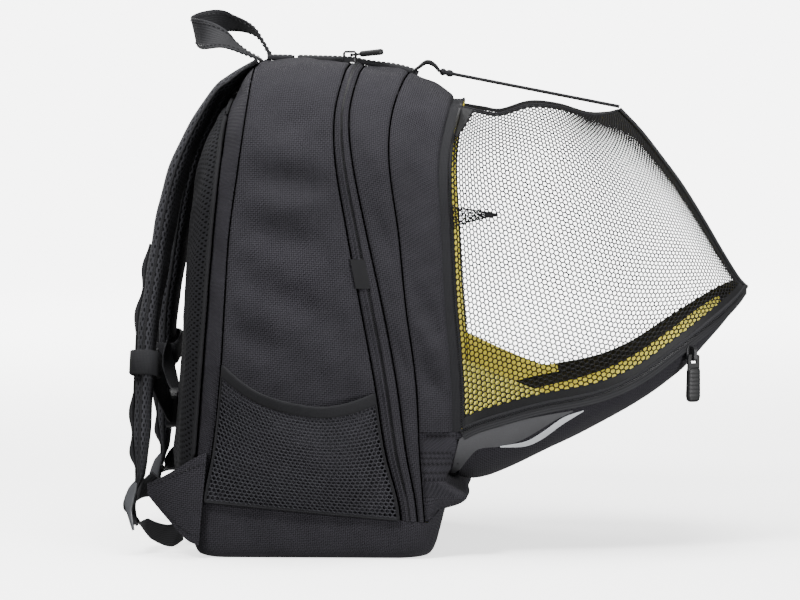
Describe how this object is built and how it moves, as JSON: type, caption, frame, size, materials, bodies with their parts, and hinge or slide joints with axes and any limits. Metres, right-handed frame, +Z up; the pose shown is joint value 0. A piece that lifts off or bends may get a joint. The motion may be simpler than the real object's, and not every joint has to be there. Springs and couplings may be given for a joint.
{
  "type": "motorcycle backpack",
  "caption": "Soft motorcycle backpack standing on its base, with its front panel swung out as a shelf under a net pouch for a helmet, mesh side pockets and padded straps.",
  "frame": {"origin": "centre of the flat base", "axes": "+Z up, +X away from the wearer's back, the wearer's left side at -Y"},
  "size_m": [0.5234, 0.366, 0.4555],
  "materials": {
    "polyester": "woven, matt black",
    "air_mesh": "spacer mesh over foam, black",
    "netting": "knotless net, black",
    "webbing": "woven tape, black",
    "grey_panel": "coated, smooth grey",
    "lining": "woven, yellow",
    "plastic": "moulded, black",
    "grey_plastic": "moulded, grey",
    "zip_metal": "die cast, black enamel"
  },
  "bodies": {
    "bag": {"base_tray": "polyester", "rear_gusset": "polyester", "main_panel": "polyester", "zip_band": "polyester", "front_gusset": "polyester", "bay_gusset": "polyester", "lower_gusset": "polyester", "flap_shell": "polyester", "anchor_wing_left": "polyester", "anchor_wing_right": "polyester", "back_panel": "air_mesh", "shoulder_strap_left": "air_mesh", "shoulder_strap_right": "air_mesh", "net_left": "netting", "net_right": "netting", "side_pocket_left": "netting", "side_pocket_right": "netting", "bay_zip_tape": "webbing", "net_front_tape": "webbing", "top_strap": "webbing", "handle_tail": "webbing", "net_cord": "webbing", "grab_handle": "webbing", "strap_webbing_left": "webbing", "strap_webbing_right": "webbing", "strap_keeper_left": "webbing", "strap_keeper_right": "webbing", "anchor_webbing_left": "webbing", "anchor_webbing_right": "webbing", "tail_webbing_left": "webbing", "tail_webbing_right": "webbing", "sternum_strap_left": "webbing", "sternum_strap_right": "webbing", "pocket_binding_left": "webbing", "pocket_binding_right": "webbing", "zip_tab": "webbing", "flap_side_left": "grey_panel", "flap_side_right": "grey_panel", "front_wall": "lining", "flap_lining": "lining", "lining_corner_left": "lining", "lining_corner_right": "lining", "top_lock": "plastic", "cord_stop": "plastic", "sternum_buckle": "plastic", "strap_lock_left": "grey_plastic", "strap_lock_right": "grey_plastic", "flap_slider": "zip_metal", "main_slider": "zip_metal"},
    "flap_puller": {"flap_puller": "plastic"},
    "main_puller": {"main_puller": "plastic"}
  },
  "joints": [
    {"name": "flap_puller_swing", "type": "hinge", "parent": "bag", "child": "flap_puller", "pos_m": [0.31581, -0.10787, 0.1685], "axis": [-0.8724, -0.4887, 0], "range_deg": [-15, 110]},
    {"name": "main_puller_swing", "type": "hinge", "parent": "bag", "child": "main_puller", "pos_m": [0.0285, -0.0174, 0.4167], "axis": [0, -1, 0], "range_deg": [0, 110]}
  ]
}
